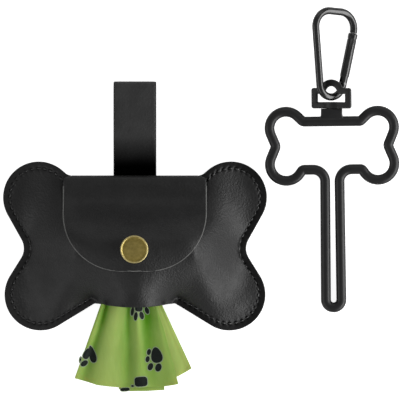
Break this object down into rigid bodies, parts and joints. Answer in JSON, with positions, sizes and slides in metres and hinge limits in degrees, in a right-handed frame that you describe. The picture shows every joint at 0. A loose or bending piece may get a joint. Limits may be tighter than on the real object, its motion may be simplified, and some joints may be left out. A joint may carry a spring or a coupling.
{
  "type": "waste bag dispenser set",
  "caption": "Bone-shaped leather dog waste bag dispenser with press-stud flap and strap loop, beside its bone-shaped wire bag carrier with swivel snap hook.",
  "frame": {"origin": "middle of the set's footprint, on the table it lies on", "axes": "+X to the right across both pieces, +Y towards the strap loop and snap hook, +Z out of the pouch's front"},
  "size_m": [0.2101, 0.2038, 0.037],
  "materials": {
    "leather": "fine-grained black imitation leather, satin, with a glossier edge",
    "brass": "antique brass plate, satin",
    "film": "thin crinkled polythene film, soft sheen",
    "card": "plain brown cardboard",
    "carrier_plastic": "matte black moulded bar",
    "hook_metal": "glossy black lacquered metal",
    "spring_steel": "bare spring steel"
  },
  "bodies": {
    "pouch": {"back_panel": "leather", "front_panel": "leather", "flap_fold": "leather", "strap": "leather", "strap_fold": "leather", "flap_stud": "brass", "flap_stud_post": "brass", "strap_stud": "brass", "strap_stud_post": "brass"},
    "flap": {"flap": "leather", "flap_stud_cap": "brass", "flap_stud_socket": "brass"},
    "strap_tail": {"strap_tail": "leather", "strap_stud_cap": "brass", "strap_stud_socket": "brass"},
    "roll": {"roll_core": "card", "bag_roll": "film"},
    "bag": {"bag_strip": "film", "hanging_bag": "film"},
    "carrier": {"carrier_frame": "carrier_plastic", "swivel_pin": "carrier_plastic"},
    "yoke": {"swivel_yoke": "carrier_plastic"},
    "hook": {"hook_body": "hook_metal"},
    "gate": {"hook_gate": "hook_metal", "gate_pin": "hook_metal", "gate_spring": "spring_steel", "gate_plunger": "spring_steel"}
  },
  "joints": [
    {"name": "flap_hinge", "type": "hinge", "parent": "pouch", "child": "flap", "pos_m": [-0.035, 0.00916, 0.0085], "axis": [-1, 0, 0], "range_deg": [0, 95], "deforming": ["flap_fold"]},
    {"name": "strap_release", "type": "hinge", "parent": "pouch", "child": "strap_tail", "pos_m": [-0.035, 0.05866, 0.004], "axis": [1, 0, 0], "range_deg": [0, 140], "deforming": ["strap_fold"]},
    {"name": "roll_spin", "type": "hinge", "parent": "pouch", "child": "roll", "pos_m": [-0.035, -0.02464, 0.0185], "axis": [-1, 0, 0], "range_deg": [0, 150]},
    {"name": "bag_pull", "type": "slide", "parent": "pouch", "child": "bag", "axis": [0, -1, 0], "range_m": [0, 0.03]},
    {"name": "carrier_lift", "type": "slide", "parent": "pouch", "child": "carrier", "axis": [0, 0, 1], "range_m": [0, 0.06]},
    {"name": "yoke_swivel", "type": "hinge", "parent": "carrier", "child": "yoke", "pos_m": [0.06914, 0.04992, 0.00811], "axis": [-0.0122, 0.9986, 0.0509], "continuous": true},
    {"name": "hook_swing", "type": "hinge", "parent": "yoke", "child": "hook", "pos_m": [0.06906, 0.05631, 0.00843], "axis": [0.9999, 0.0122, 0], "range_deg": [-18, 18]},
    {"name": "gate_hinge", "type": "hinge", "parent": "hook", "child": "gate", "pos_m": [0.07523, 0.06139, 0.00479], "axis": [0.5304, -0.0367, 0.8469], "range_deg": [0, 26], "stiffness_Nm_per_rad": 0.02, "springref_deg": -17.19}
  ],
  "couplings": [
    {"joint": "bag_pull", "follows": "roll_spin", "m_per_rad": 0.011}
  ]
}
